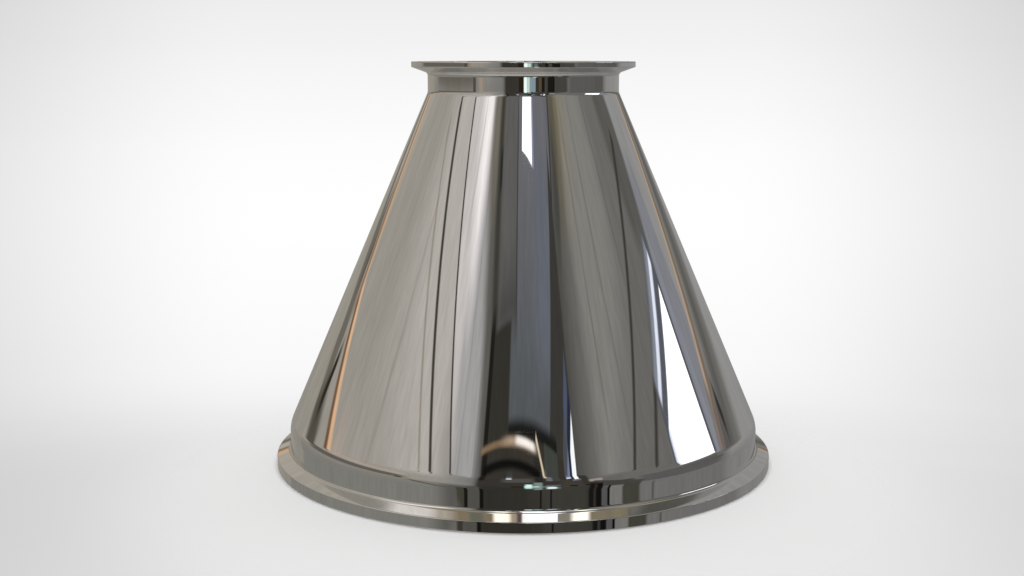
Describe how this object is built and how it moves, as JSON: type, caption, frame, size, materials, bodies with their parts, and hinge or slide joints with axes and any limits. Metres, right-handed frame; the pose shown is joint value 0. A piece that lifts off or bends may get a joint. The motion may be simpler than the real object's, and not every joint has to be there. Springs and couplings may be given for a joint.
{
  "type": "concentric pipe reducer",
  "caption": "Polished conical reducer that joins a wide tube to a narrow one on the same axis, with a flared clamp ferrule and a gasket groove at each end.",
  "frame": {"origin": "centre of the large ferrule's face, which is the surface the reducer stands on", "axes": "+Z along the common axis, from the large end to the small end; X and Y are any two directions across it"},
  "size_m": [0.2688, 0.2688, 0.215],
  "materials": {
    "polished_stainless": "polished"
  },
  "bodies": {
    "root": {"reducer": "polished_stainless"}
  },
  "joints": []
}
